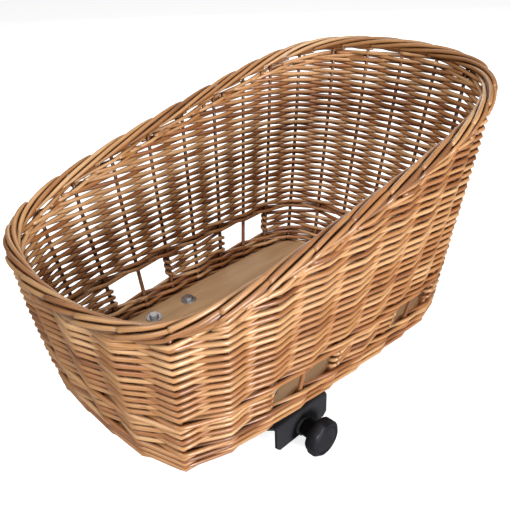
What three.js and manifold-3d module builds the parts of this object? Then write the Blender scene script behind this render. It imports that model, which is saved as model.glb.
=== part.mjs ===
// A willow pet basket for a bicycle's luggage carrier: low front, high back and a screw clamp underneath.
// Millimetres. +X runs from the low front to the high back, +Z is up.
// The origin is the middle of the clamp, on the plane where the carrier's rails touch the two jaw plates.

import * as THREE from 'three';
import { mergeVertices } from 'three/addons/utils/BufferGeometryUtils.js';
import Module from 'manifold-3d';

const wasm = await Module();
wasm.setup();

// Clearances
const GAP = 0.3;
const RIM_SEAT = 0.7;
const ROD_PLAY = 0.5;

// Foot of the basket: a rounded rectangle with slightly bowed sides, wider at the back
const BASE_LENGTH = 430;
const BASE_WIDTH = 263;
const BASE_TAPER = 0.07;
const BASE_END_BOW = 10;
const BASE_SIDE_BOW = 6;
const BASE_FRONT_SHARPNESS = 13;
const BASE_BACK_SHARPNESS = 10;

// Mouth of the basket, measured along the middle of the rolled border
const RIM_LENGTH = 532;
const RIM_WIDTH = 343;
const RIM_TAPER = 0.075;
const RIM_SHIFT = 19.5;
const RIM_FRONT_BOW = 37;
const RIM_BACK_BOW = 42;
const RIM_SIDE_BOW = 3;
const RIM_FRONT_SHARPNESS = 7.8;
const RIM_BACK_SHARPNESS = 5.2;
const RIM_FRONT_HEIGHT = 168.5;
const RIM_BACK_HEIGHT = 301;
const RIM_SAG = 0.01;
const RIM_KICK = 0.35;

// Weave: the stakes stand at nearly equal steps round the foot, drifting back a little along the long sides.
// Heights are above the foot
const STAKE_COUNT = 29;
const STAKE_DRIFT = 7;
const STAKE_DIAMETER = 4.2;
const STAKE_SIDES = 8;
const COLUMNS_PER_BAY = 4;
const WEAVE_STEPS_PER_BAY = 2;
const WEAVER_DIAMETER = 4.6;
const WEAVER_REACH = 3.5;
const ROW_PITCH = 4.4;
const WEAVE_BOTTOM = 18.3;
const ROWS_BELOW = 4;
const UPPER_WALE_ROW = 10;
const WALE_ROWS = 2;
const WALE_THICKNESS = 12.4;
const WALL_BULGE = 3;

// Openings: each spans two bays, with the stake between them left bare
const OPENING_BOTTOM = 30;
const OPENING_TOP = 62;
const OPENING_CENTRES = [-68, 121];

// Borders: twisted rods round a closed path
const RIM_BORDER_RADIUS = 9;
const RIM_BORDER_RODS = 5;
const BASE_BORDER_RADIUS = 4.5;
const BASE_BORDER_RODS = 3;
const ROD_RELIEF = 0.82;

// Bottom panel and board
const WICKER_BASE_THICKNESS = 7;
const WICKER_BASE_LIFT = 1;
const BOARD_THICKNESS = 6;
const BOARD_INSET = 7.3;
const PANEL_COLUMN_STEP = 2;

// Bolts through the board, and the bracket that they hold
const CLAMP_FROM_BASE_CENTRE = -49;
const BOLT_SPACING_X = 56;
const BOLT_SPACING_Y = 200;
const BOLT_DIAMETER = 6;
const BOLT_HEAD_FLATS = 10;
const BOLT_HEAD_HEIGHT = 4;
const BOLT_TIP = 2;
const WASHER_DIAMETER = 20;
const WASHER_THICKNESS = 1.5;
const NUT_FLATS = 10;
const NUT_HEIGHT = 5;
const BRACKET_WIDTH = 84;
const BRACKET_SHEET = 2.5;
const BRACKET_FOOT = 24;
const BRACKET_RISER_LEAN = 18;
const BRACKET_DROP = 14.2;

// Jaws
const JAW_SHEET = 3;
const JAW_WIDTH = 92;
const JAW_FLANGE_WIDTH = 82;
const JAW_DROP = 32;
const JAW_BEND = 4;
const JAW_CORNER = 5;
const BEND_STEPS = 4;
const NEAR_JAW_FACE = -122.3;
const NEAR_JAW_REACH = 80;
const FAR_JAW_FACE = 72;
const FAR_JAW_REACH = 66;
const JAW_TRAVEL = 50;
const GUIDE_SPACING_X = 56;
const NEAR_GUIDE_Y = -62;
const FAR_GUIDE_Y = 40;
const GUIDE_HEAD_DIAMETER = 11;
const GUIDE_HEAD_HEIGHT = 2.6;
const GUIDE_TIP = 1;

// Clamp screw and knob
const SCREW_DIAMETER = 8;
const SCREW_DEPTH = 16.4;
const SCREW_TIP_PAST_NUT = 8;
const SCREW_NUT_FLATS = 13;
const SCREW_NUT_HEIGHT = 6.5;
const RING_DIAMETER = 13;
const RING_THICKNESS = 1.2;
const KNOB_WASHER_DIAMETER = 21.5;
const KNOB_WASHER_BORE = 12;
const KNOB_HUB_DIAMETER = 20;
const KNOB_HUB_LENGTH = 15.3;
const KNOB_DIAMETER = 44.4;
const KNOB_LENGTH = 15.5;
const KNOB_FLUTES = 9;
const KNOB_FLUTE_DEPTH = 1.1;
const KNOB_DISC_DIAMETER = 30.5;
const KNOB_GROOVE = 1.6;
const KNOB_GROOVE_DEPTH = 1.2;
const KNOB_BORE_DEPTH = 18;
const KNOB_END_BEVEL = 3.5;
const KNOB_SIDE_BEVEL = 3;
const POINTS_PER_FLUTE = 4;

// How finely round shapes and the plan are drawn
const ROUND_STEPS = 20;
const HOLE_STEPS = 12;
const DISC_STEPS = 28;
const HEX_SIDES = 6;
const PLAN_SAMPLES = 1440;
const ANGLE_STEP = 0.005;
const CUT_PAST = 1;
const EDGE_SNAP = 1;

// Heights worked out from the sizes above, all above the carrier plane
const BRACKET_BOTTOM = JAW_SHEET + GAP;
const BASE_PANEL_BOTTOM = BRACKET_BOTTOM + BRACKET_DROP + BRACKET_SHEET + GAP;
const FOOT_Z = BASE_PANEL_BOTTOM - WICKER_BASE_LIFT;
const BASE_PANEL_TOP = BASE_PANEL_BOTTOM + WICKER_BASE_THICKNESS;
const BOARD_BOTTOM = BASE_PANEL_TOP + GAP;
const BOARD_TOP = BOARD_BOTTOM + BOARD_THICKNESS;
const WALL_BOTTOM = FOOT_Z + 2 * BASE_BORDER_RADIUS + GAP;
const BASE_CENTRE_X = -CLAMP_FROM_BASE_CENTRE;

const COLUMNS = STAKE_COUNT * COLUMNS_PER_BAY;
const PLACES_PER_TURN = STAKE_COUNT * WEAVE_STEPS_PER_BAY;

// Materials
function material(color, roughness, metalness = 0) {
  return new THREE.MeshStandardMaterial({ color, roughness, metalness });
}

const willow = () => material(0xb9793f, 0.6);
const willowBorder = () => material(0xc0803f, 0.55);
const plywood = () => material(0xc8a172, 0.7);
const zinc = () => material(0xb4b6b8, 0.35, 0.9);
const blackSteel = () => material(0x17181a, 0.5, 0.3);
const blackPlastic = () => material(0x1a1b1e, 0.55);

const basket = new THREE.Group();

function addPart(name, geometry, surface) {
  const mesh = new THREE.Mesh(geometry, surface);
  mesh.name = name;
  basket.add(mesh);
  return mesh;
}

// Solids
function toSolid(geometry) {
  const bare = geometry.clone();
  bare.deleteAttribute('normal');
  bare.deleteAttribute('uv');
  const merged = mergeVertices(bare, 1e-4);
  return new wasm.Manifold(new wasm.Mesh({
    numProp: 3,
    vertProperties: new Float32Array(merged.attributes.position.array),
    triVerts: new Uint32Array(merged.index.array),
  }));
}

function toGeometry(solid) {
  const mesh = solid.getMesh();
  const geometry = new THREE.BufferGeometry();
  geometry.setAttribute('position', new THREE.BufferAttribute(mesh.vertProperties, 3));
  geometry.setIndex(new THREE.BufferAttribute(mesh.triVerts, 1));
  return geometry;
}

// Joins neighbouring sections into one closed ring. The last section meets the first with its points moved
// on by closingShift places, because a twisted ring comes round a few lobes further on
function closedLoft(sections, closingShift = 0) {
  const size = sections[0].length;
  const positions = [];
  const indices = [];
  for (const section of sections) {
    for (const point of section) {
      positions.push(point.x, point.y, point.z);
    }
  }
  for (let i = 0; i < sections.length; i += 1) {
    const closing = i + 1 === sections.length;
    const here = i * size;
    const next = closing ? 0 : here + size;
    const shift = closing ? closingShift : 0;
    for (let k = 0; k < size; k += 1) {
      const a = here + k;
      const b = here + ((k + 1) % size);
      const c = next + ((k + shift) % size);
      const d = next + ((k + 1 + shift) % size);
      indices.push(a, c, d);
      indices.push(a, d, b);
    }
  }
  const geometry = new THREE.BufferGeometry();
  geometry.setAttribute('position', new THREE.Float32BufferAttribute(positions, 3));
  geometry.setIndex(indices);
  return geometry;
}

function roundBar(diameter, length, steps = ROUND_STEPS) {
  return new THREE.CylinderGeometry(diameter / 2, diameter / 2, length, steps);
}

// A bar standing on z = bottom
function upright(diameter, bottom, top, x, y, steps = ROUND_STEPS) {
  const geometry = roundBar(diameter, top - bottom, steps);
  geometry.rotateX(Math.PI / 2);
  geometry.translate(x, y, (bottom + top) / 2);
  return geometry;
}

// A bar lying along Y at the height of the clamp screw
function alongScrew(diameter, from, to, steps = ROUND_STEPS) {
  const geometry = roundBar(diameter, to - from, steps);
  geometry.translate(0, (from + to) / 2, -SCREW_DEPTH);
  return geometry;
}

function hexDiameter(flats) {
  return flats / Math.cos(Math.PI / 6);
}

function prism(points, from, to) {
  const shape = new THREE.Shape(points.map(([x, y]) => new THREE.Vector2(x, y)));
  const geometry = new THREE.ExtrudeGeometry(shape, { depth: to - from, bevelEnabled: false });
  geometry.translate(0, 0, from);
  return geometry;
}

// A bent sheet: its profile is drawn as (y, z) points and pushed along x
function bentSheet(profile, width) {
  const geometry = prism(profile, -width / 2, width / 2);
  geometry.applyMatrix4(new THREE.Matrix4().makeBasis(
    new THREE.Vector3(0, 1, 0),
    new THREE.Vector3(0, 0, 1),
    new THREE.Vector3(1, 0, 0),
  ));
  return geometry;
}

// A hole along z, cut through whatever lies between bottom and top
function drilled(solid, diameter, bottom, top, x, y) {
  return solid.subtract(toSolid(upright(diameter, bottom - CUT_PAST, top + CUT_PAST, x, y, HOLE_STEPS)));
}

// Outlines in plan
const BASE_OUTLINE = {
  halfLength: BASE_LENGTH / 2,
  halfWidth: BASE_WIDTH / 2,
  taper: BASE_TAPER,
  frontBow: BASE_END_BOW,
  backBow: BASE_END_BOW,
  sideBow: BASE_SIDE_BOW,
  frontSharpness: BASE_FRONT_SHARPNESS,
  backSharpness: BASE_BACK_SHARPNESS,
  shift: 0,
};

const RIM_OUTLINE = {
  halfLength: RIM_LENGTH / 2,
  halfWidth: RIM_WIDTH / 2,
  taper: RIM_TAPER,
  frontBow: RIM_FRONT_BOW,
  backBow: RIM_BACK_BOW,
  sideBow: RIM_SIDE_BOW,
  frontSharpness: RIM_FRONT_SHARPNESS,
  backSharpness: RIM_BACK_SHARPNESS,
  shift: RIM_SHIFT,
};

function insetOutline(outline, inset) {
  return {
    ...outline,
    halfLength: outline.halfLength - inset,
    halfWidth: outline.halfWidth - inset,
  };
}

// Distance from the centre to one bowed side, a parabola that falls by bow over half its span
function bowedSide(across, along, reach, span, bow) {
  const bend = (bow * along ** 2) / span ** 2;
  if (bend < 1e-9) {
    return reach / across;
  }
  return (Math.sqrt(across ** 2 + 4 * bend * reach) - across) / (2 * bend);
}

// Point of an outline in the direction of angle: the nearer of two bowed sides, blended at the corner
function outlinePoint(outline, angle) {
  const c = Math.cos(angle);
  const s = Math.sin(angle);
  const backness = 0.5 * (1 + Math.tanh(4 * c));
  const sharpness = outline.frontSharpness + (outline.backSharpness - outline.frontSharpness) * backness;
  const endBow = outline.frontBow + (outline.backBow - outline.frontBow) * backness;
  const absC = Math.abs(c) + 1e-9;
  const absS = Math.abs(s) + 1e-9;
  const toSide = bowedSide(absS, absC, outline.halfWidth, outline.halfLength, outline.sideBow);
  const toEnd = bowedSide(absC, absS, outline.halfLength, outline.halfWidth, endBow);
  const radius = (toSide ** -sharpness + toEnd ** -sharpness) ** (-1 / sharpness);
  const x = radius * c;
  const widening = 1 + (outline.taper * x) / outline.halfLength;
  return new THREE.Vector2(BASE_CENTRE_X + outline.shift + x, radius * s * widening);
}

function rimHeight(x) {
  const front = BASE_CENTRE_X + RIM_SHIFT - RIM_LENGTH / 2;
  const u = THREE.MathUtils.clamp((x - front) / RIM_LENGTH, 0, 1);
  const rise = u - u * (1 - u) * (RIM_SAG + RIM_KICK * (2 * u - 1));
  return FOOT_Z + RIM_FRONT_HEIGHT + (RIM_BACK_HEIGHT - RIM_FRONT_HEIGHT) * rise;
}

function rimPoint(angle) {
  const plan = outlinePoint(RIM_OUTLINE, angle);
  return new THREE.Vector3(plan.x, plan.y, rimHeight(plan.x));
}

// Angles of the stakes, measured along the foot from the middle of the back
function stakeAngles() {
  const samples = PLAN_SAMPLES;
  const lengths = [0];
  let before = outlinePoint(BASE_OUTLINE, 0);
  for (let i = 1; i <= samples; i += 1) {
    const here = outlinePoint(BASE_OUTLINE, (2 * Math.PI * i) / samples);
    lengths.push(lengths[i - 1] + here.distanceTo(before));
    before = here;
  }
  const angles = [];
  let i = 0;
  for (let stake = 0; stake < STAKE_COUNT; stake += 1) {
    const share = stake / STAKE_COUNT;
    const target = lengths[samples] * share - STAKE_DRIFT * Math.sin(2 * Math.PI * share);
    while (lengths[i + 1] <= target) {
      i += 1;
    }
    const part = (target - lengths[i]) / (lengths[i + 1] - lengths[i]);
    angles.push((2 * Math.PI * (i + part)) / samples);
  }
  return angles;
}

const STAKES = stakeAngles();

function columnAngle(column) {
  const bay = Math.floor(column / COLUMNS_PER_BAY);
  const from = STAKES[bay];
  const to = bay + 1 < STAKE_COUNT ? STAKES[bay + 1] : 2 * Math.PI;
  return from + ((to - from) * (column % COLUMNS_PER_BAY)) / COLUMNS_PER_BAY;
}

// Middle surface of the wall and its outward direction in plan
function wallPoint(angle, z) {
  const foot = outlinePoint(BASE_OUTLINE, angle);
  const rim = rimPoint(angle);
  const share = (z - FOOT_Z) / (rim.z - FOOT_Z);
  const out = new THREE.Vector2(rim.x - foot.x, rim.y - foot.y).normalize();
  const bulge = 4 * share * (1 - share) * WALL_BULGE;
  const plan = foot.lerp(new THREE.Vector2(rim.x, rim.y), share).addScaledVector(out, bulge);
  return new THREE.Vector3(plan.x, plan.y, z);
}

function outwardAt(angle, z) {
  const along = wallPoint(angle + ANGLE_STEP, z).sub(wallPoint(angle - ANGLE_STEP, z));
  return new THREE.Vector3(along.y, -along.x, 0).normalize();
}

// Woven wall: one sheet of plain weave. It climbs as a single spiral, and because the number of stakes is odd,
// a row that passes outside a stake lies between two rows that pass inside it. Half way between stakes all the
// rows lie in the middle. Two wales, above the board and above the openings, are thicker bands without relief
const UPPER_WALE_BOTTOM = WEAVE_BOTTOM + UPPER_WALE_ROW * ROW_PITCH;
const UPPER_WALE_TOP = UPPER_WALE_BOTTOM + WALE_ROWS * ROW_PITCH;

function wallTop(angle) {
  const along = rimPoint(angle + ANGLE_STEP).sub(rimPoint(angle - ANGLE_STEP)).normalize();
  const level = Math.hypot(along.x, along.y);
  return rimPoint(angle).z - (RIM_BORDER_RADIUS + RIM_SEAT) / level;
}

function placeAngle(place) {
  return columnAngle(((place % PLACES_PER_TURN) * COLUMNS_PER_BAY) / WEAVE_STEPS_PER_BAY);
}

function inWale(height) {
  return height < WEAVE_BOTTOM || (height > UPPER_WALE_BOTTOM && height < UPPER_WALE_TOP);
}

function rowHeight(place) {
  return WEAVE_BOTTOM + ROW_PITCH * (place / PLACES_PER_TURN - ROWS_BELOW + 0.5);
}

function pastMouth(place) {
  return FOOT_Z + rowHeight(place) > wallTop(placeAngle(place)) - EDGE_SNAP;
}

function pastFoot(place) {
  return FOOT_Z + rowHeight(place) < WALL_BOTTOM + EDGE_SNAP;
}

// Outer and inner point of the sheet at one place of the spiral
function weavePoints(place) {
  const angle = placeAngle(place);
  const height = rowHeight(place);
  const atEdge = pastMouth(place) || pastFoot(place);
  const plain = atEdge || inWale(height);
  const top = pastMouth(place) ? wallTop(angle) : FOOT_Z + height;
  const z = pastFoot(place) ? WALL_BOTTOM : top;
  const sway = plain ? 0 : WEAVER_REACH * Math.cos((Math.PI * place) / WEAVE_STEPS_PER_BAY);
  const half = (inWale(height) ? WALE_THICKNESS : WEAVER_DIAMETER) / 2;
  const middle = wallPoint(angle, z);
  const outward = outwardAt(angle, z);
  return [sway + half, sway - half].map((reach) => middle.clone().addScaledVector(outward, reach));
}

// Rows past the mouth or past the foot all share the points of that edge
function sharedPlace(place) {
  let shared = place;
  while (pastMouth(shared) && pastMouth(shared - PLACES_PER_TURN)) {
    shared -= PLACES_PER_TURN;
  }
  while (pastFoot(shared) && pastFoot(shared + PLACES_PER_TURN)) {
    shared += PLACES_PER_TURN;
  }
  return shared;
}

function wovenSheet() {
  const turns = Math.ceil((RIM_BACK_HEIGHT - WEAVE_BOTTOM) / ROW_PITCH) + ROWS_BELOW;
  const last = (turns - 1) * PLACES_PER_TURN - 1;
  const positions = [];
  const numbers = new Map();
  function pointNumber(place, face) {
    const shared = sharedPlace(place);
    if (!numbers.has(shared)) {
      numbers.set(shared, positions.length / 3);
      for (const point of weavePoints(shared)) {
        positions.push(point.x, point.y, point.z);
      }
    }
    return numbers.get(shared) + face;
  }
  const outside = (place) => pointNumber(place, 0);
  const inside = (place) => pointNumber(place, 1);
  const indices = [];
  function triangle(a, b, c) {
    if (a !== b && b !== c && c !== a) {
      indices.push(a, b, c);
    }
  }
  function quad(a, b, c, d) {
    triangle(a, b, c);
    triangle(a, c, d);
  }
  const edge = (from, to) => quad(outside(to), outside(from), inside(from), inside(to));
  for (let place = 0; place < last; place += 1) {
    const over = place + PLACES_PER_TURN;
    quad(outside(place), outside(place + 1), outside(over + 1), outside(over));
    quad(inside(place), inside(over), inside(over + 1), inside(place + 1));
  }
  for (let step = 0; step < PLACES_PER_TURN; step += 1) {
    edge(step, step + 1);
    edge(last + step + 1, last + step);
  }
  edge(PLACES_PER_TURN, 0);
  edge(last, last + PLACES_PER_TURN);
  const geometry = new THREE.BufferGeometry();
  geometry.setAttribute('position', new THREE.Float32BufferAttribute(positions, 3));
  geometry.setIndex(indices);
  return geometry;
}

// The stake of one long side that stands nearest to a distance from the foot's centre
function nearestStake(centre, side) {
  const target = new THREE.Vector2(BASE_CENTRE_X + centre, (side * BASE_WIDTH) / 2);
  const away = STAKES.map((angle) => outlinePoint(BASE_OUTLINE, angle).distanceTo(target));
  return away.indexOf(Math.min(...away));
}

// A prism through the wall between the stakes either side of the bare one, where the rods turn back
function openingCutter(middleStake) {
  const bottom = FOOT_Z + OPENING_BOTTOM;
  const top = FOOT_Z + OPENING_TOP;
  const ends = [STAKES[middleStake - 1], STAKES[middleStake + 1]];
  const low = ends.map((angle) => wallPoint(angle, bottom).x).sort((a, b) => a - b);
  const high = ends.map((angle) => wallPoint(angle, top).x).sort((a, b) => a - b);
  const margin = STAKE_DIAMETER / 2 + WEAVER_DIAMETER;
  const corners = [
    [low[0] + margin, -bottom],
    [high[0] + margin, -top],
    [high[1] - margin, -top],
    [low[1] - margin, -bottom],
  ];
  const depth = 2 * WALE_THICKNESS;
  const geometry = prism(corners, -depth, depth);
  geometry.rotateX(-Math.PI / 2);
  geometry.translate(0, wallPoint(STAKES[middleStake], (bottom + top) / 2).y, 0);
  return geometry;
}

function bareStake(stake) {
  const from = wallPoint(STAKES[stake], FOOT_Z + OPENING_BOTTOM - 2 * ROW_PITCH);
  const to = wallPoint(STAKES[stake], FOOT_Z + OPENING_TOP + ROW_PITCH);
  const along = to.clone().sub(from);
  const geometry = roundBar(STAKE_DIAMETER, along.length(), STAKE_SIDES);
  const turn = new THREE.Quaternion().setFromUnitVectors(new THREE.Vector3(0, 1, 0), along.normalize());
  geometry.applyQuaternion(turn);
  const middle = from.lerp(to, 0.5);
  geometry.translate(middle.x, middle.y, middle.z);
  return geometry;
}

function wovenWall() {
  let wall = toSolid(wovenSheet());
  for (const side of [-1, 1]) {
    for (const centre of OPENING_CENTRES) {
      const stake = nearestStake(centre, side);
      wall = wall.subtract(toSolid(openingCutter(stake)));
      wall = wall.add(toSolid(bareStake(stake)));
    }
  }
  return toGeometry(wall);
}

// Twisted border: one lobe's width of turn in each bay, so the lobes meet where the ring closes
function twistedBorder(pathPoint, radius, rods, columnStep) {
  const sections = [];
  const perLobe = 2;
  for (let column = 0; column < COLUMNS; column += columnStep) {
    const angle = columnAngle(column);
    const centre = pathPoint(angle);
    const along = pathPoint(angle + ANGLE_STEP).sub(pathPoint(angle - ANGLE_STEP)).normalize();
    const outward = new THREE.Vector3(along.y, -along.x, 0).normalize();
    const up = new THREE.Vector3().crossVectors(outward, along).normalize();
    const twist = (2 * Math.PI * column) / (COLUMNS_PER_BAY * rods);
    const section = [];
    for (let k = 0; k < rods * perLobe; k += 1) {
      const turn = (2 * Math.PI * k) / (rods * perLobe) + twist;
      const reach = k % perLobe === 0 ? radius : radius * ROD_RELIEF;
      section.push(centre.clone()
        .addScaledVector(outward, reach * Math.cos(turn))
        .addScaledVector(up, reach * Math.sin(turn)));
    }
    sections.push(section);
  }
  return closedLoft(sections, STAKE_COUNT * perLobe);
}

function basePath(angle) {
  const plan = outlinePoint(insetOutline(BASE_OUTLINE, BASE_BORDER_RADIUS), angle);
  return new THREE.Vector3(plan.x, plan.y, FOOT_Z + BASE_BORDER_RADIUS);
}

// Two rows of two bolts each
function boltPlaces(spacingX, rows) {
  const places = [];
  for (const y of rows) {
    places.push([-spacingX / 2, y], [spacingX / 2, y]);
  }
  return places;
}

const BOLTS = boltPlaces(BOLT_SPACING_X, [-BOLT_SPACING_Y / 2, BOLT_SPACING_Y / 2]);
const GUIDES = boltPlaces(GUIDE_SPACING_X, [NEAR_GUIDE_Y, FAR_GUIDE_Y]);
const BOLT_HOLE = BOLT_DIAMETER + 2 * GAP;
const SCREW_HOLE = SCREW_DIAMETER + 2 * GAP;

// Flat panel with the four bolt holes
function panel(inset, bottom, top) {
  const outline = insetOutline(BASE_OUTLINE, inset);
  const points = [];
  for (let column = 0; column < COLUMNS; column += PANEL_COLUMN_STEP) {
    const point = outlinePoint(outline, columnAngle(column));
    points.push([point.x, point.y]);
  }
  let solid = toSolid(prism(points, bottom, top));
  for (const [x, y] of BOLTS) {
    solid = drilled(solid, BOLT_HOLE, bottom, top, x, y);
  }
  return toGeometry(solid);
}

// Bracket: a bent plate whose feet are bolted under the base and whose middle carries the jaws
function bridgeBracket() {
  const footEnd = BOLT_SPACING_Y / 2 + BRACKET_FOOT / 2;
  const footStart = BOLT_SPACING_Y / 2 - BRACKET_FOOT / 2;
  const low = BRACKET_BOTTOM;
  const high = BRACKET_BOTTOM + BRACKET_DROP;
  const sheet = BRACKET_SHEET;
  const half = [
    [footEnd, high],
    [footEnd, high + sheet],
    [footStart - sheet / 2, high + sheet],
    [footStart - BRACKET_RISER_LEAN - sheet / 2, low + sheet],
  ];
  const under = [
    [footStart - BRACKET_RISER_LEAN + sheet / 2, low],
    [footStart + sheet / 2, high],
  ];
  const mirror = (points) => points.map(([y, z]) => [-y, z]).reverse();
  const outline = [...half, ...mirror(half), ...mirror(under), ...under];
  let solid = toSolid(bentSheet(outline, BRACKET_WIDTH));
  for (const [x, y] of BOLTS) {
    solid = drilled(solid, BOLT_HOLE, high, high + sheet, x, y);
  }
  for (const [x, y] of GUIDES) {
    solid = drilled(solid, BOLT_HOLE, low, low + sheet, x, y);
  }
  return toGeometry(solid);
}

// Jaw: an angle plate with a round bend, drawn for the near side with its clamping face at y = 0
function jawProfile(reach) {
  const sheet = JAW_SHEET;
  const bend = (radius, from, to) => {
    const path = new THREE.Path();
    path.absarc(JAW_BEND - sheet, sheet - JAW_BEND, radius, from, to, from > to);
    return path.getPoints(BEND_STEPS).map((point) => [point.x, point.y]);
  };
  return [
    [reach - sheet, sheet],
    ...bend(JAW_BEND, Math.PI / 2, Math.PI),
    [-sheet, sheet - JAW_DROP],
    [0, sheet - JAW_DROP],
    ...bend(JAW_BEND - sheet, Math.PI, Math.PI / 2),
    [reach - sheet, 0],
  ];
}

function jaw(reach) {
  let solid = toSolid(bentSheet(jawProfile(reach), JAW_WIDTH));
  const bottom = JAW_SHEET - JAW_DROP;
  for (const side of [-1, 1]) {
    const wide = JAW_WIDTH / 2;
    const narrow = JAW_FLANGE_WIDTH / 2;
    const past = wide + CUT_PAST;
    const notchEnd = JAW_BEND - JAW_SHEET + wide - narrow;
    const notch = [
      [side * narrow, -2 * JAW_SHEET],
      [side * narrow, JAW_BEND - JAW_SHEET],
      [side * wide, notchEnd],
      [side * past, notchEnd],
      [side * past, -2 * JAW_SHEET],
    ];
    const besideFlange = prism(side > 0 ? notch : notch.reverse(), bottom - CUT_PAST, JAW_SHEET + CUT_PAST);
    const corner = [
      [side * (narrow - JAW_CORNER), bottom],
      [side * narrow, bottom + JAW_CORNER],
      [side * (narrow + CUT_PAST), bottom - CUT_PAST],
    ];
    const chamfer = prism(side > 0 ? corner : corner.reverse(), -CUT_PAST, 2 * JAW_SHEET);
    chamfer.rotateX(Math.PI / 2);
    solid = solid.subtract(toSolid(besideFlange)).subtract(toSolid(chamfer));
  }
  const hole = roundBar(SCREW_DIAMETER + 2 * ROD_PLAY, 4 * JAW_SHEET);
  hole.translate(0, 0, -SCREW_DEPTH);
  return solid.subtract(toSolid(hole));
}

function slidingJaw() {
  let solid = jaw(NEAR_JAW_REACH);
  const slotEnd = NEAR_GUIDE_Y - NEAR_JAW_FACE;
  const slotStart = slotEnd - JAW_TRAVEL;
  for (const [x, y] of boltPlaces(GUIDE_SPACING_X, [slotStart, slotEnd])) {
    solid = drilled(solid, BOLT_HOLE, 0, JAW_SHEET, x, y);
  }
  for (const side of [-1, 1]) {
    const slot = new THREE.BoxGeometry(BOLT_HOLE, JAW_TRAVEL, 3 * JAW_SHEET);
    slot.translate((side * GUIDE_SPACING_X) / 2, (slotStart + slotEnd) / 2, 0);
    solid = solid.subtract(toSolid(slot));
  }
  const geometry = toGeometry(solid);
  geometry.translate(0, NEAR_JAW_FACE, 0);
  return geometry;
}

function fixedJaw() {
  let solid = jaw(FAR_JAW_REACH);
  for (const [x, y] of boltPlaces(GUIDE_SPACING_X, [FAR_JAW_FACE - FAR_GUIDE_Y])) {
    solid = drilled(solid, BOLT_HOLE, 0, JAW_SHEET, x, y);
  }
  const geometry = toGeometry(solid);
  geometry.rotateZ(Math.PI);
  geometry.translate(0, FAR_JAW_FACE, 0);
  return geometry;
}

// Fasteners
function boltSolid(x, y, headBottom, headTop, tip, head, headSteps) {
  const headMiddle = (headBottom + headTop) / 2;
  const [from, to] = [tip, headMiddle].sort((a, b) => a - b);
  const shank = toSolid(upright(BOLT_DIAMETER, from, to, x, y, HOLE_STEPS));
  return toGeometry(toSolid(upright(head, headBottom, headTop, x, y, headSteps)).add(shank));
}

function ring(outer, inner, bottom, top, x, y, steps) {
  return toGeometry(drilled(toSolid(upright(outer, bottom, top, x, y, steps)), inner, bottom, top, x, y));
}

function ringAlongScrew(outer, inner, from, to, steps = ROUND_STEPS) {
  const solid = toSolid(alongScrew(outer, from, to, steps));
  const bore = alongScrew(inner, from - CUT_PAST, to + CUT_PAST);
  return toGeometry(solid.subtract(toSolid(bore)));
}

// Knob: a fluted grip with a grooved face and a narrower hub, made along +Z and laid along -Y
function knob(back) {
  const outline = [];
  const count = KNOB_FLUTES * POINTS_PER_FLUTE;
  for (let i = 0; i < count; i += 1) {
    const turn = (2 * Math.PI * i) / count;
    const dip = KNOB_FLUTE_DEPTH * (0.5 + 0.5 * Math.cos(KNOB_FLUTES * turn));
    const radius = KNOB_DIAMETER / 2 - KNOB_SIDE_BEVEL - dip;
    outline.push(new THREE.Vector2(radius * Math.cos(turn), radius * Math.sin(turn)));
  }
  const grip = new THREE.ExtrudeGeometry(new THREE.Shape(outline), {
    depth: KNOB_LENGTH - 2 * KNOB_END_BEVEL,
    bevelThickness: KNOB_END_BEVEL,
    bevelSize: KNOB_SIDE_BEVEL,
    bevelSegments: 1,
  });
  grip.translate(0, 0, KNOB_HUB_LENGTH + KNOB_END_BEVEL);
  const face = KNOB_HUB_LENGTH + KNOB_LENGTH;
  const grooveInner = KNOB_DISC_DIAMETER / 2;
  const grooveOuter = grooveInner + KNOB_GROOVE;
  const groove = new THREE.LatheGeometry([
    new THREE.Vector2(grooveInner, face + CUT_PAST),
    new THREE.Vector2(grooveInner, face - KNOB_GROOVE_DEPTH),
    new THREE.Vector2(grooveOuter, face - KNOB_GROOVE_DEPTH),
    new THREE.Vector2(grooveOuter, face + CUT_PAST),
    new THREE.Vector2(grooveInner, face + CUT_PAST),
  ], DISC_STEPS);
  groove.rotateX(Math.PI / 2);
  const hub = upright(KNOB_HUB_DIAMETER, 0, KNOB_HUB_LENGTH + CUT_PAST, 0, 0);
  const bore = upright(SCREW_HOLE, -CUT_PAST, KNOB_BORE_DEPTH, 0, 0);
  const solid = toSolid(grip).add(toSolid(hub)).subtract(toSolid(groove)).subtract(toSolid(bore));
  const geometry = toGeometry(solid);
  geometry.rotateX(Math.PI / 2);
  geometry.translate(0, back, -SCREW_DEPTH);
  return geometry;
}

// Wicker and board
addPart('woven_wall', wovenWall(), willow());
addPart('rim_border', twistedBorder(rimPoint, RIM_BORDER_RADIUS, RIM_BORDER_RODS, 1), willowBorder());
addPart('base_border', twistedBorder(basePath, BASE_BORDER_RADIUS, BASE_BORDER_RODS, 2), willowBorder());
addPart('wicker_base', panel(2 * BASE_BORDER_RADIUS + GAP, BASE_PANEL_BOTTOM, BASE_PANEL_TOP), willow());
addPart('base_board', panel(BOARD_INSET, BOARD_BOTTOM, BOARD_TOP), plywood());

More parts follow.
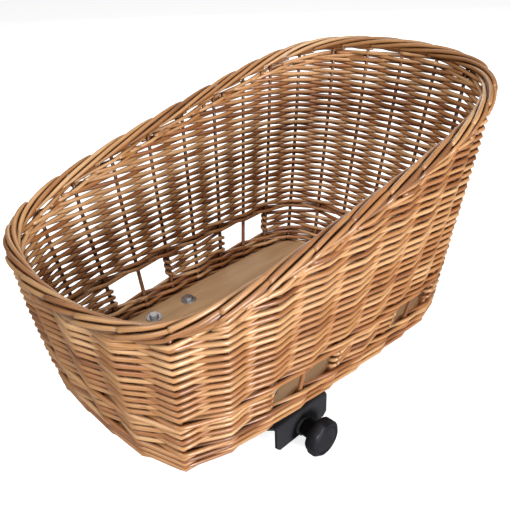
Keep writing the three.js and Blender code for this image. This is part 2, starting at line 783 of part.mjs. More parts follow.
// Bracket with its four bolts
addPart('bridge_bracket', bridgeBracket(), blackSteel());
BOLTS.forEach(([x, y], i) => {
  const washerBottom = BOARD_TOP + GAP;
  const washerTop = washerBottom + WASHER_THICKNESS;
  const headBottom = washerTop + GAP;
  const headTop = headBottom + BOLT_HEAD_HEIGHT;
  const nutTop = BRACKET_BOTTOM + BRACKET_DROP - GAP;
  const nutBottom = nutTop - NUT_HEIGHT;
  const head = hexDiameter(BOLT_HEAD_FLATS);
  const bolt = boltSolid(x, y, headBottom, headTop, nutBottom - BOLT_TIP, head, HEX_SIDES);
  const washer = ring(WASHER_DIAMETER, BOLT_HOLE, washerBottom, washerTop, x, y, ROUND_STEPS);
  const nut = ring(hexDiameter(NUT_FLATS), BOLT_HOLE, nutBottom, nutTop, x, y, HEX_SIDES);
  addPart(`base_bolt_${i + 1}`, bolt, zinc());
  addPart(`base_washer_${i + 1}`, washer, zinc());
  addPart(`base_nut_${i + 1}`, nut, zinc());
});

// Jaws, hung from the bracket on their guide bolts
addPart('sliding_jaw', slidingJaw(), blackSteel());
addPart('fixed_jaw', fixedJaw(), blackSteel());
GUIDES.forEach(([x, y], i) => {
  const headBottom = -GAP - GUIDE_HEAD_HEIGHT;
  const nutBottom = BRACKET_BOTTOM + BRACKET_SHEET + GAP;
  const nutTop = nutBottom + NUT_HEIGHT;
  const bolt = boltSolid(x, y, headBottom, -GAP, nutTop + GUIDE_TIP, GUIDE_HEAD_DIAMETER, HOLE_STEPS);
  const nut = ring(hexDiameter(NUT_FLATS), BOLT_HOLE, nutBottom, nutTop, x, y, HEX_SIDES);
  addPart(`guide_bolt_${i + 1}`, bolt, blackSteel());
  addPart(`guide_nut_${i + 1}`, nut, zinc());
});

// Clamp screw: through the sliding jaw, into the nut on the fixed jaw. The knob's washers have wide holes,
// so they hang on the screw a little below its axis
const flangeOuter = NEAR_JAW_FACE - JAW_SHEET;
const washerStep = WASHER_THICKNESS + GAP;
const washerDrop = (KNOB_WASHER_BORE - SCREW_DIAMETER) / 2 - GAP;
for (const n of [1, 2]) {
  const back = flangeOuter - n * washerStep;
  const washer = ringAlongScrew(KNOB_WASHER_DIAMETER, KNOB_WASHER_BORE, back, back + WASHER_THICKNESS);
  washer.translate(0, 0, -washerDrop);
  addPart(`knob_washer_${n}`, washer, zinc());
}
const ringFront = NEAR_JAW_FACE + GAP;
const ringBack = ringFront + RING_THICKNESS;
addPart('retaining_ring', ringAlongScrew(RING_DIAMETER, SCREW_HOLE, ringFront, ringBack), zinc());
const nutFront = FAR_JAW_FACE + JAW_SHEET + GAP;
const nutEnd = nutFront + SCREW_NUT_HEIGHT;
const nutDiameter = hexDiameter(SCREW_NUT_FLATS);
addPart('screw_nut', ringAlongScrew(nutDiameter, SCREW_HOLE, nutFront, nutEnd, HEX_SIDES), zinc());
const knobBack = flangeOuter - 2 * washerStep - GAP;
const screwStart = knobBack - KNOB_BORE_DEPTH + GAP;
addPart('clamp_screw', alongScrew(SCREW_DIAMETER, screwStart, nutEnd + SCREW_TIP_PAST_NUT), zinc());
addPart('clamp_knob', knob(knobBack), blackPlastic());

export default basket;
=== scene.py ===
# Looks for the willow pet basket: real woven rods, board, bolts and clamp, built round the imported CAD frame.

import math

import bpy
import numpy as np
from mathutils import Matrix, Vector


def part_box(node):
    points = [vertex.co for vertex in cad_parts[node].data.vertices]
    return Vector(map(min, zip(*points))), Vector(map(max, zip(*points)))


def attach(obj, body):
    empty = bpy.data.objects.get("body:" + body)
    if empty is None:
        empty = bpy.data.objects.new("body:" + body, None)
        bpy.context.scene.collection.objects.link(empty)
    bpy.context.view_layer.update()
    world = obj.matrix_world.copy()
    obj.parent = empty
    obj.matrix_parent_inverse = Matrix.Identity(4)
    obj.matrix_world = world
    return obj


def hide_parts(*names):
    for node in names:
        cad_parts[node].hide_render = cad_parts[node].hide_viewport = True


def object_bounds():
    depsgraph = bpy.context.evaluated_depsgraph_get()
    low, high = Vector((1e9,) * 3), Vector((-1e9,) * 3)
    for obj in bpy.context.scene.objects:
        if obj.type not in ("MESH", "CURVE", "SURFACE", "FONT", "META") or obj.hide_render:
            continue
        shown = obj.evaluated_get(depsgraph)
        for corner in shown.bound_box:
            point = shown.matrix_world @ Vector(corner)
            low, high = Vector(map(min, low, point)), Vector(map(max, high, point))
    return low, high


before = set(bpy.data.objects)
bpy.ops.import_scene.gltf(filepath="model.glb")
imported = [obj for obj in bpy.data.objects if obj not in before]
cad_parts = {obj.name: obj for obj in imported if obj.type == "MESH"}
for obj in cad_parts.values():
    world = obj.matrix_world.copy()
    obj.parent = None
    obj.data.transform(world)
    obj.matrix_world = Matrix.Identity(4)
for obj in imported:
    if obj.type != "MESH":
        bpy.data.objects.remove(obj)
CAD_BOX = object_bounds()
MM = 0.001
RANDOM = np.random.default_rng(7)

# Height of the basket's foot, a little under the woven base of the frame
BASE_LIFT = 1 * MM
FOOT_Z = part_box("wicker_base")[0][2] - BASE_LIFT

# Plan of the foot and of the mouth, in millimetres from the clamp's middle, as in the CAD model
FOOT_PLAN = {
    "centre": 49, "half_length": 215, "half_width": 131.5, "taper": 0.07,
    "front_bow": 10, "back_bow": 10, "side_bow": 6, "front_sharp": 13, "back_sharp": 10,
}
MOUTH_PLAN = {
    "centre": 68.5, "half_length": 266, "half_width": 171.5, "taper": 0.075,
    "front_bow": 37, "back_bow": 42, "side_bow": 3, "front_sharp": 7.8, "back_sharp": 5.2,
}
MOUTH_FRONT_HEIGHT = 168.5
MOUTH_BACK_HEIGHT = 301
MOUTH_SAG = 0.01
MOUTH_KICK = 0.35
WALL_BULGE = 3

# Stakes, in millimetres with heights above the foot; a bay is the space between two stakes
STAKES = 29
STAKE_DRIFT = 7
STAKE_RADIUS = 2.4
STAKE_FOOT = 3
STAKE_TUCK = 3
STAKE_BOW = 0.35

# Plain weave
WEAVER_RADIUS = 2.4
WEAVER_THINNEST = 1.9
WEAVER_THICKEST = 3.0
WEAVER_BUTT = 1.05
WEAVER_TAPER = 0.12
WEAVER_BAYS = (13, 25)
SHORTEST_BAYS = 6
WEAVER_FLATNESS = 1.0
SWAY_SHARPNESS = 0.985
ROW_PITCH = 4.15
ROW_FILL = 0.3
ROW_WOBBLE = 0.24
WOBBLE_BAYS = 2.5
STEPS_PER_BAY = 8
RANDING_START = 31.2

# Wales, each of three rods
WALE_RADIUS = 2.4
WALE_CLIMB = 2.4
WALE_ROD_BAYS = 9
LOWER_WALES = (9.4, 18.0, 26.6)
UPPER_WALE_Z = 66.6
UPPER_WALE_HALF = 4.4

# Rows that follow the mouth, and how many of their pitches the level rows run up among them
RIM_ROWS = 3
RIM_ROW_LIFT = 1.5
RIM_ROW_WOBBLE = 0.15
RIM_ROWS_SHARED = 2.2

# Windows, with their middles from the middle of the foot
WINDOW_LOW = 31.6
WINDOW_HIGH = 62.3
WINDOW_CENTRES = (-68, 121)

# Rolled border. A step of a rod holds strokes along, roll in degrees and share of the full reach
BORDER_RADIUS = 9
BORDER_STROKES = 34
BORDER_CORE_RADIUS = 4.9
BORDER_CORE_DROP = 2.0
LOWER_ROD_RADIUS = 2.45
LOWER_ROD_STEPS = [
    (-0.95, -98, 0.95), (-0.5, -76, 1.0), (-0.12, -46, 1.0), (0.0, -14, 1.05),
    (0.3, 4, 1.02), (0.65, 22, 0.98), (0.95, 40, 0.8), (1.3, 58, 0.3),
]
UPPER_ROD_RADIUS = 2.6
UPPER_ROD_STEPS = [
    (0.22, 30, 0.1), (0.05, 34, 0.55), (0.02, 42, 0.98), (0.25, 56, 1.08), (0.7, 82, 1.04),
    (1.2, 110, 1.0), (1.7, 138, 1.0), (2.2, 166, 0.98), (2.7, 196, 0.9), (3.1, 224, 0.7),
]

# Border of the foot
FOOT_ROD_RADIUS = 2.9
FOOT_LINE_INSET = 4.5
FOOT_LINE_HEIGHT = 4.5
FOOT_STROKE_BAYS = 2.6
FOOT_ROLL_START = 100
FOOT_ROLL_TURN = 250
FOOT_REACH_OUT = 3.0
FOOT_REACH_UP = 1.9

# Woven base
STICK_RADIUS = 2.0
STICK_GAP = 27
BASE_ROD_RADIUS = 1.75
BASE_PITCH = 3.7
BASE_MIDDLE = 4.4
BASE_WAVE = 1.7


def outline(plan, angle):
    """Points of a plan in the directions given by angle, in millimetres."""
    c, s = np.cos(angle), np.sin(angle)
    ac, sn = np.abs(c) + 1e-9, np.abs(s) + 1e-9
    back = 0.5 * (1 + np.tanh(4 * c))
    sharp = plan["front_sharp"] + (plan["back_sharp"] - plan["front_sharp"]) * back
    end_bow = plan["front_bow"] + (plan["back_bow"] - plan["front_bow"]) * back
    side_bend = plan["side_bow"] * ac**2 / plan["half_length"] ** 2 + 1e-12
    end_bend = end_bow * sn**2 / plan["half_width"] ** 2 + 1e-12
    to_side = (np.sqrt(sn**2 + 4 * side_bend * plan["half_width"]) - sn) / (2 * side_bend)
    to_end = (np.sqrt(ac**2 + 4 * end_bend * plan["half_length"]) - ac) / (2 * end_bend)
    radius = (to_side**-sharp + to_end**-sharp) ** (-1 / sharp)
    x = radius * c
    y = radius * s * (1 + plan["taper"] * x / plan["half_length"])
    return plan["centre"] + x, y


def mouth_point(angle):
    """Middle line of the rolled border, with heights above the foot."""
    x, y = outline(MOUTH_PLAN, angle)
    u = np.clip((x - MOUTH_PLAN["centre"]) / (2 * MOUTH_PLAN["half_length"]) + 0.5, 0, 1)
    rise = u - u * (1 - u) * (MOUTH_SAG + MOUTH_KICK * (2 * u - 1))
    return x, y, MOUTH_FRONT_HEIGHT + (MOUTH_BACK_HEIGHT - MOUTH_FRONT_HEIGHT) * rise


def stake_angles():
    """Directions of the stakes, at nearly equal steps along the foot."""
    fine = np.linspace(0, 2 * np.pi, 4001)
    x, y = outline(FOOT_PLAN, fine)
    length = np.concatenate([[0], np.cumsum(np.hypot(np.diff(x), np.diff(y)))])
    share = np.arange(STAKES + 1) / STAKES
    target = length[-1] * share - STAKE_DRIFT * np.sin(2 * np.pi * share)
    return np.interp(target, length, fine)


STAKE_ANGLES = stake_angles()


def angle_at(bay):
    """Direction for a place counted in bays from the stake at the middle of the back."""
    turn = np.floor(bay / STAKES)
    return np.interp(bay - turn * STAKES, np.arange(STAKES + 1), STAKE_ANGLES) + 2 * np.pi * turn


def wall_point(bay, z):
    """Middle of the wall at a height above the foot: n points of x, y, z in millimetres."""
    angle = angle_at(np.asarray(bay, float))
    foot_x, foot_y = outline(FOOT_PLAN, angle)
    top_x, top_y, top_z = mouth_point(angle)
    share = z / top_z
    dx, dy = top_x - foot_x, top_y - foot_y
    away = np.hypot(dx, dy)
    bulge = 4 * share * (1 - share) * WALL_BULGE
    return np.stack([
        foot_x + dx * share + dx / away * bulge,
        foot_y + dy * share + dy / away * bulge,
        z + 0 * foot_x,
    ], -1)


def unit(v):
    return v / np.maximum(np.linalg.norm(v, axis=-1, keepdims=True), 1e-12)


def chord_point(bay, z):
    """Point at a height on the straight line between the two stakes beside it."""
    bay = np.asarray(bay, float)
    before = np.floor(bay)
    part = (bay - before)[..., None]
    return wall_point(before, z) * (1 - part) + wall_point(before + 1, z) * part


def outward(bay, z):
    """Level direction out of the wall."""
    along = wall_point(np.asarray(bay, float) + 0.05, z) - wall_point(np.asarray(bay, float) - 0.05, z)
    return unit(np.stack([along[..., 1], -along[..., 0], 0 * along[..., 0]], -1))


def mouth_line(bay):
    """Middle line of the rolled border, for a place counted in bays."""
    x, y, z = mouth_point(angle_at(np.asarray(bay, float)))
    return np.stack([x, y, z], -1)


def border_frame(line, bay):
    """Point, outward direction and upward direction of a border's middle line."""
    bay = np.asarray(bay, float)
    along = unit(line(bay + 0.05) - line(bay - 0.05))
    out = unit(np.stack([along[..., 1], -along[..., 0], 0 * along[..., 0]], -1))
    return line(bay), out, unit(np.cross(out, along))


def wall_top(bay):
    """Height of the wall's top, at the underside of the border."""
    return mouth_line(bay)[..., 2] - BORDER_RADIUS


def smooth_noise(count, spacing, size):
    """Smooth random values, one per step, that change over about spacing steps."""
    knots = RANDOM.normal(0, size, int(count / spacing) + 4)
    where = np.arange(count) / spacing
    low = where.astype(int)
    part = where - low
    part = part * part * (3 - 2 * part)
    return knots[low] * (1 - part) + knots[low + 1] * part


class RodMesh:
    """Many rods in one mesh, with a length coordinate in metres and a tone for each rod."""

    END_SHARE = 0.02
    LONGEST_START = 50

    def __init__(self):
        self.points, self.faces, self.uvs, self.tones = [], [], [], []
        self.count = 0

    def add(self, path, radius, across, sides=8, closed=False, tone=None, flat=1.0):
        path = np.asarray(path, float)
        n = len(path)
        if closed:
            tangent = np.roll(path, -1, 0) - np.roll(path, 1, 0)
        else:
            tangent = np.gradient(path, axis=0)
        tangent = unit(tangent)
        across = np.broadcast_to(np.asarray(across, float), path.shape)
        side = unit(across - np.sum(across * tangent, 1, keepdims=True) * tangent)
        up = np.cross(tangent, side)
        radius = np.broadcast_to(np.asarray(radius, float), (n,)).copy()
        if not closed:
            path = np.concatenate([path[:1], path, path[-1:]])
            side = np.concatenate([side[:1], side, side[-1:]])
            up = np.concatenate([up[:1], up, up[-1:]])
            radius = np.concatenate([radius[:1] * self.END_SHARE, radius, radius[-1:] * self.END_SHARE])
            n += 2
        turn = 2 * np.pi * np.arange(sides) / sides
        ring = path[:, None] + radius[:, None, None] * (
            flat * np.cos(turn)[None, :, None] * side[:, None] + np.sin(turn)[None, :, None] * up[:, None])
        step = np.linalg.norm(np.diff(path, axis=0), axis=1)
        length = np.concatenate([[0], np.cumsum(step)]) * MM + RANDOM.uniform(0, self.LONGEST_START)
        rows = n if closed else n - 1
        i, k = np.meshgrid(np.arange(rows), np.arange(sides), indexing="ij")
        j, m = (i + 1) % n, (k + 1) % sides
        quads = np.stack([i * sides + k, j * sides + k, j * sides + m, i * sides + m], -1)
        next_length = np.append(length, 2 * length[-1] - length[-2])
        u0, u1 = next_length[i], next_length[i + 1]
        v0, v1 = k / sides, (k + 1) / sides
        uv = np.stack([np.stack([u0, v0], -1), np.stack([u1, v0], -1),
                       np.stack([u1, v1], -1), np.stack([u0, v1], -1)], -2)
        self.points.append(ring.reshape(-1, 3))
        self.faces.append(quads.reshape(-1, 4)[:, ::-1] + self.count)
        self.uvs.append(uv.reshape(-1, 4, 2)[:, ::-1])
        if tone is None:
            tone = RANDOM.uniform(0, 1)
        self.tones.append(np.full(n * sides, tone))
        self.count += n * sides

    def build(self, name, body, material, nodes=()):
        points = np.concatenate(self.points) * MM
        points[:, 2] += FOOT_Z
        faces = np.concatenate(self.faces)
        mesh = bpy.data.meshes.new(name)
        mesh.vertices.add(len(points))
        mesh.vertices.foreach_set("co", points.ravel())
        mesh.loops.add(faces.size)
        mesh.loops.foreach_set("vertex_index", faces.ravel())
        mesh.polygons.add(len(faces))
        mesh.polygons.foreach_set("loop_start", np.arange(0, faces.size, 4))
        mesh.polygons.foreach_set("loop_total", np.full(len(faces), 4))
        mesh.update(calc_edges=True)
        layer = mesh.uv_layers.new(name="rod")
        layer.data.foreach_set("uv", np.concatenate(self.uvs).ravel())
        tone = mesh.attributes.new("tone", "FLOAT", "POINT")
        tone.data.foreach_set("value", np.concatenate(self.tones))
        mesh.validate()
        mesh.shade_smooth()
        mesh.materials.append(material)
        return place(bpy.data.objects.new(name, mesh), body, nodes)


def place(obj, body, nodes=()):
    """Puts a piece into the scene, on its body, and hides the CAD nodes that it stands for."""
    bpy.context.collection.objects.link(obj)
    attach(obj, body)
    if nodes:
        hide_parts(*nodes)
    return obj


# Materials
class Nodes:
    """A short way to write a material's node tree."""

    def __init__(self, name):
        self.material = bpy.data.materials.new(name)
        self.material.use_nodes = True
        self.tree = self.material.node_tree
        self.shader = self.tree.nodes["Principled BSDF"]

    def node(self, kind, **settings):
        made = self.tree.nodes.new(kind)
        for key, value in settings.items():
            setattr(made, key, value)
        return made

    def link(self, source, target):
        self.tree.links.new(source, target)

    def ramp(self, source, stops):
        made = self.node("ShaderNodeValToRGB")
        ramp = made.color_ramp
        while len(ramp.elements) < len(stops):
            ramp.elements.new(0.5)
        for element, (position, color) in zip(ramp.elements, stops):
            element.position = position
            element.color = (*color, 1)
        self.link(source, made.inputs["Fac"])
        return made.outputs["Color"]

    def noise(self, vector, scale, detail=3, roughness=0.5):
        made = self.node("ShaderNodeTexNoise")
        made.inputs["Scale"].default_value = scale
        made.inputs["Detail"].default_value = detail
        made.inputs["Roughness"].default_value = roughness
        self.link(vector, made.inputs["Vector"])
        return made.outputs["Fac"]

    def stretch(self, vector, scale):
        made = self.node("ShaderNodeMapping")
        made.inputs["Scale"].default_value = scale
        self.link(vector, made.inputs["Vector"])
        return made.outputs["Vector"]

    def math(self, kind, a, b):
        made = self.node("ShaderNodeMath", operation=kind)
        for socket, value in zip(made.inputs, (a, b)):
            if isinstance(value, (int, float)):
                socket.default_value = value
            else:
                self.link(value, socket)
        return made.outputs[0]

    def mix(self, factor, a, b, blend="MIX"):
        made = self.node("ShaderNodeMix", data_type="RGBA", blend_type=blend)
        for socket, value in ((made.inputs[0], factor), (made.inputs[6], a), (made.inputs[7], b)):
            if isinstance(value, (int, float)):
                socket.default_value = value
            elif isinstance(value, tuple):
                socket.default_value = (*value, 1)
            else:
                self.link(value, socket)
        return made.outputs[2]

    def bump(self, height, distance, strength=1.0):
        made = self.node("ShaderNodeBump")
        made.inputs["Distance"].default_value = distance
        made.inputs["Strength"].default_value = strength
        self.link(height, made.inputs["Height"])
        self.link(made.outputs["Normal"], self.shader.inputs["Normal"])


def willow(name, pale, honey, red, dark):
    """Willow rods: each has its own tone, with long grain, knots, a low sheen and painted shade that darkens
    the gaps between rods.
    """
    n = Nodes(name)
    uv = n.node("ShaderNodeUVMap", uv_map="rod").outputs["UV"]
    tone = n.node("ShaderNodeAttribute", attribute_name="tone").outputs["Fac"]
    slow = n.noise(n.stretch(uv, (14, 0.6, 1)), 1.0, 2)
    grain = n.noise(n.stretch(uv, (60, 9, 1)), 1.0, 4, 0.6)
    knots = n.noise(n.stretch(uv, (45, 1.2, 1)), 1.0, 2)
    drift = n.math("ADD", n.math("MULTIPLY", tone, 0.5), n.math("MULTIPLY", slow, 0.5))
    color = n.ramp(drift, [(0.18, dark), (0.34, red), (0.55, honey), (0.78, pale)])
    streak = n.ramp(grain, [(0.35, (0.72, 0.66, 0.6)), (0.62, (1, 1, 1))])
    color = n.mix(0.55, color, streak, "MULTIPLY")
    spots = n.ramp(knots, [(0.66, (1, 1, 1)), (0.74, (0.45, 0.33, 0.25))])
    color = n.mix(0.8, color, spots, "MULTIPLY")
    # Painted shade: an ambient-occlusion mask darkens the colour in the gaps between rods, where shade falls.
    gap = n.node("ShaderNodeAmbientOcclusion", samples=6)
    gap.inputs["Distance"].default_value = 5 * MM
    painted_gap_shade = n.ramp(gap.outputs["AO"], [(0.3, (0.26, 0.16, 0.1)), (0.82, (1, 1, 1))])
    n.link(n.mix(0.85, color, painted_gap_shade, "MULTIPLY"), n.shader.inputs["Base Color"])
    rough = n.math("ADD", n.math("MULTIPLY", grain, 0.25), 0.28)
    n.link(rough, n.shader.inputs["Roughness"])
    n.shader.inputs["Specular IOR Level"].default_value = 0.85
    n.bump(grain, 0.0004, 0.5)
    return n.material


def plywood():
    """Pale sanded plywood with long grain along the basket."""
    n = Nodes("sanded_plywood")
    where = n.node("ShaderNodeTexCoord").outputs["Object"]
    broad = n.noise(n.stretch(where, (5, 60, 5)), 1.0, 3)
    fine = n.noise(n.stretch(where, (30, 700, 30)), 1.0, 4, 0.6)
    color = n.ramp(broad, [(0.3, (0.40, 0.235, 0.115)), (0.7, (0.52, 0.33, 0.175))])
    streak = n.ramp(fine, [(0.35, (0.84, 0.8, 0.76)), (0.6, (1, 1, 1))])
    n.link(n.mix(0.7, color, streak, "MULTIPLY"), n.shader.inputs["Base Color"])
    n.shader.inputs["Roughness"].default_value = 0.62
    n.bump(fine, 0.0003, 0.35)
    return n.material


def zinc():
    """Bright zinc plate, a little clouded, darker in its scratches."""
    n = Nodes("zinc_plate")
    where = n.node("ShaderNodeTexCoord").outputs["Object"]
    cloud = n.noise(n.stretch(where, (160, 160, 160)), 1.0, 3)
    scratch = n.noise(n.stretch(where, (900, 900, 900)), 1.0, 3, 0.6)
    n.link(n.ramp(cloud, [(0.3, (0.38, 0.39, 0.42)), (0.7, (0.62, 0.63, 0.65))]),
           n.shader.inputs["Base Color"])
    n.shader.inputs["Metallic"].default_value = 1.0
    n.link(n.math("ADD", n.math("MULTIPLY", scratch, 0.3), 0.3), n.shader.inputs["Roughness"])
    n.bump(scratch, 0.0001, 0.3)
    return n.material


def black_paint():
    """Black powder coat with a fine orange peel and slightly worn edges."""
    n = Nodes("black_powder_coat")
    where = n.node("ShaderNodeTexCoord").outputs["Object"]
    peel = n.noise(n.stretch(where, (700, 700, 700)), 1.0, 2)
    dust = n.noise(n.stretch(where, (60, 60, 60)), 1.0, 4)
    edge = n.node("ShaderNodeNewGeometry").outputs["Pointiness"]
    worn = n.ramp(edge, [(0.53, (0, 0, 0)), (0.58, (0.5, 0.5, 0.5))])
    color = n.ramp(dust, [(0.35, (0.003, 0.0035, 0.005)), (0.7, (0.007, 0.0075, 0.010))])
    n.link(n.mix(worn, color, (0.05, 0.05, 0.055)), n.shader.inputs["Base Color"])
    n.link(n.math("ADD", n.math("MULTIPLY", dust, 0.2), 0.36), n.shader.inputs["Roughness"])
    n.shader.inputs["Specular IOR Level"].default_value = 0.06
    n.bump(peel, 0.0002, 0.35)
    return n.material


def black_moulding():
    """Moulded black plastic, finely textured, with a grey bloom."""
    n = Nodes("black_moulding")
    where = n.node("ShaderNodeTexCoord").outputs["Object"]
    spark = n.noise(n.stretch(where, (1200, 1200, 1200)), 1.0, 2)
    bloom = n.noise(n.stretch(where, (90, 90, 90)), 1.0, 4)
    n.link(n.ramp(bloom, [(0.35, (0.005, 0.0055, 0.008)), (0.7, (0.011, 0.012, 0.016))]),
           n.shader.inputs["Base Color"])
    n.link(n.math("ADD", n.math("MULTIPLY", bloom, 0.2), 0.38), n.shader.inputs["Roughness"])
    n.shader.inputs["Specular IOR Level"].default_value = 0.25
    n.bump(spark, 0.0002, 0.3)
    return n.material


WEAVER = willow(
    "willow_weavers", pale=(0.66, 0.39, 0.185), honey=(0.48, 0.228, 0.082),
    red=(0.35, 0.132, 0.038), dark=(0.18, 0.06, 0.017))
STAKE_ROD = willow(
    "willow_stakes", pale=(0.38, 0.16, 0.055), honey=(0.29, 0.11, 0.034),
    red=(0.21, 0.072, 0.022), dark=(0.14, 0.045, 0.014))
THICK_ROD = willow(
    "willow_thick_rods", pale=(0.58, 0.345, 0.16), honey=(0.45, 0.225, 0.085),
    red=(0.34, 0.145, 0.046), dark=(0.18, 0.067, 0.021))
PLYWOOD = plywood()
ZINC = zinc()
PAINT = black_paint()
MOULDING = black_moulding()


# Woven wall
def nearest_stake(centre, side):
    """The stake of one long side that stands nearest to a distance from the foot's centre."""
    x, y = outline(FOOT_PLAN, STAKE_ANGLES[:STAKES])
    target = (FOOT_PLAN["centre"] + centre, side * FOOT_PLAN["half_width"])
    return int(np.argmin(np.hypot(x - target[0], y - target[1])))


WINDOWS = [nearest_stake(centre, side) for side in (-1, 1) for centre in WINDOW_CENTRES]


def in_window(bay, z):
    """True where a window leaves the wall open."""
    inside = np.zeros(len(bay), bool)
    around = np.mod(bay, STAKES)
    for middle in WINDOWS:
        inside |= (around > middle - 1) & (around < middle + 1)
    return inside & (z > WINDOW_LOW) & (z < WINDOW_HIGH)


def sway(bay):
    """Distance from the wall's middle as a share of the full reach: plus outside, minus inside."""
    return np.arcsin(SWAY_SHARPNESS * np.cos(np.pi * bay)) / math.asin(SWAY_SHARPNESS)


def weave_path(bay, z, radius):
    """A weaver bent sharply round each stake and straight between stakes, with its outward directions."""
    out = outward(bay, z)
    reach = STAKE_RADIUS + radius * WEAVER_FLATNESS
    return chord_point(bay, z) + out * (reach * sway(bay))[:, None], out


def rim_row_top(bay):
    """Height of the last plain row, tucked under the border."""
    return wall_top(bay) + RIM_ROW_LIFT


def level_limit(bay):
    """Height where the level rows stop, among the rows that follow the mouth."""
    return rim_row_top(bay) - ROW_PITCH * (RIM_ROWS - RIM_ROWS_SHARED)


def randing(rods, start_z, end_z):
    """Plain weave as one long spiral, broken into rods where it meets a window or the rows of the mouth."""
    turns = int(math.ceil((end_z - start_z) / ROW_PITCH))
    per_turn = STAKES * STEPS_PER_BAY
    count = turns * per_turn + 1
    bay = np.arange(count) / STEPS_PER_BAY
    wobble = smooth_noise(count + 2 * per_turn, WOBBLE_BAYS * STEPS_PER_BAY, ROW_WOBBLE)
    z = start_z + ROW_PITCH * (bay / STAKES + 0.5) + wobble[per_turn:per_turn + count]
    spread = 2 * ROW_PITCH + wobble[2 * per_turn:2 * per_turn + count] - wobble[:count]
    radius = np.clip(ROW_FILL * spread, WEAVER_THINNEST, WEAVER_THICKEST)
    keep = (z < level_limit(bay)) & ~in_window(bay, z) & (z < end_z)
    path, out = weave_path(bay, z, radius)
    edges = np.flatnonzero(np.diff(np.concatenate([[0], keep.astype(int), [0]])))
    for first, last in zip(edges[::2], edges[1::2]):
        lay_rods(rods, path, radius, out, first, last)


def rim_rows(rods):
    """The last rows, which follow the mouth instead of running level."""
    per_turn = STAKES * STEPS_PER_BAY
    count = RIM_ROWS * per_turn + 1
    bay = np.arange(count) / STEPS_PER_BAY
    wobble = smooth_noise(count, WOBBLE_BAYS * STEPS_PER_BAY, RIM_ROW_WOBBLE)
    z = rim_row_top(bay) - ROW_PITCH * (RIM_ROWS - bay / STAKES) + wobble
    radius = np.full(count, WEAVER_RADIUS)
    path, out = weave_path(bay, z, radius)
    lay_rods(rods, path, radius, out, 0, count)


def lay_rods(rods, path, radius, out, first, last):
    """Splits one run of weave into single rods, each joined to the next on the inside of a stake."""
    while last - first > 2:
        bays = int((first / STEPS_PER_BAY + RANDOM.uniform(*WEAVER_BAYS)) / 2) * 2 + 1
        stop = bays * STEPS_PER_BAY
        if last - stop < SHORTEST_BAYS * STEPS_PER_BAY:
            stop = last
        part = slice(first, min(stop + 2, last))
        share = np.linspace(0, 1, part.stop - part.start)
        if RANDOM.random() < 0.5:
            share = 1 - share
        size = WEAVER_BUTT - WEAVER_TAPER * share
        rods.add(path[part], radius[part] * size, out[part], flat=WEAVER_FLATNESS)
        first = stop


def turn_backs(rods, window, rows):
    """Weavers that turn round the stakes at a window's sides."""
    points = 9
    for jamb, toward in ((window - 1, 1), (window + 1, -1)):
        for row in rows:
            parity = 1 if (jamb + row) % 2 == 0 else -1
            if (row % 2 == 0) == (toward > 0):
                continue
            turn = np.linspace(0, np.pi, points)
            low = RANDING_START + ROW_PITCH * (row + 0.5 + jamb / STAKES)
            z = low + ROW_PITCH * turn / np.pi
            middle = wall_point(np.full(points, float(jamb)), z)
            out = outward(np.full(points, float(jamb)), z)
            along = np.stack([-out[:, 1], out[:, 0], 0 * z], -1) * toward
            reach = STAKE_RADIUS + WEAVER_RADIUS
            path = middle + out * (parity * reach * np.cos(turn))[:, None]
            path = path + along * (reach * np.sin(turn))[:, None]
            rods.add(path, WEAVER_RADIUS * 0.95, out)


def three_rod_wale(rods, level):
    """Three rods at one level that each pass outside two stakes and inside the third."""
    count = 3 * STAKES * STEPS_PER_BAY
    bay = np.arange(count + 1) / STEPS_PER_BAY
    stake = np.floor(bay).astype(int)
    part = bay - stake
    side = np.array([-1.0, 1.0, 1.0])
    lift = np.array([0.0, WALE_CLIMB, -WALE_CLIMB])
    here, there = stake % 3, (stake + 1) % 3
    off = side[here] * (1 - part) + side[there] * part
    height = level + lift[here] * (1 - part) + lift[there] * part
    out = outward(bay, height)
    reach = STAKE_RADIUS + WALE_RADIUS * WEAVER_FLATNESS
    path = chord_point(bay, height) + out * (off * reach)[:, None]
    step = WALE_ROD_BAYS * STEPS_PER_BAY
    for first in range(0, count, step):
        part = slice(first, min(first + step + 2, count + 1))
        radius = WALE_RADIUS * RANDOM.uniform(0.95, 1.04)
        rods.add(path[part], radius, out[part], flat=WEAVER_FLATNESS)


def stakes(rods):
    """Upright stakes from the foot to the border."""
    points = 26
    for stake in range(STAKES):
        top = float(wall_top(np.array([stake]))[0]) + STAKE_TUCK
        z = np.linspace(STAKE_FOOT, top, points)
        bay = np.full(points, float(stake))
        bow = RANDOM.normal(0, STAKE_BOW)
        path = wall_point(bay + 0.006 * bow * np.sin(z / 70), z)
        radius = STAKE_RADIUS * np.linspace(1.08, 0.94, points)
        rods.add(path, radius, outward(bay, z), sides=10)


def woven_wall():
    """Stakes, plain weave and wales of the wall."""
    upright = RodMesh()
    stakes(upright)
    upright.build("wall_stakes", "basket_body", STAKE_ROD)
    weave = RodMesh()
    randing(weave, RANDING_START, UPPER_WALE_Z - UPPER_WALE_HALF)
    first = int((WINDOW_LOW - RANDING_START) / ROW_PITCH)
    last = int((WINDOW_HIGH - RANDING_START) / ROW_PITCH)
    for window in WINDOWS:
        turn_backs(weave, window, range(first, last - 1))
    randing(weave, UPPER_WALE_Z + UPPER_WALE_HALF, MOUTH_BACK_HEIGHT)
    rim_rows(weave)
    weave.build("wall_weavers", "basket_body", WEAVER, ["woven_wall"])
    wale = RodMesh()
    for level in (*LOWER_WALES, UPPER_WALE_Z):
        three_rod_wale(wale, level)
    wale.build("wall_wales", "basket_body", WEAVER)


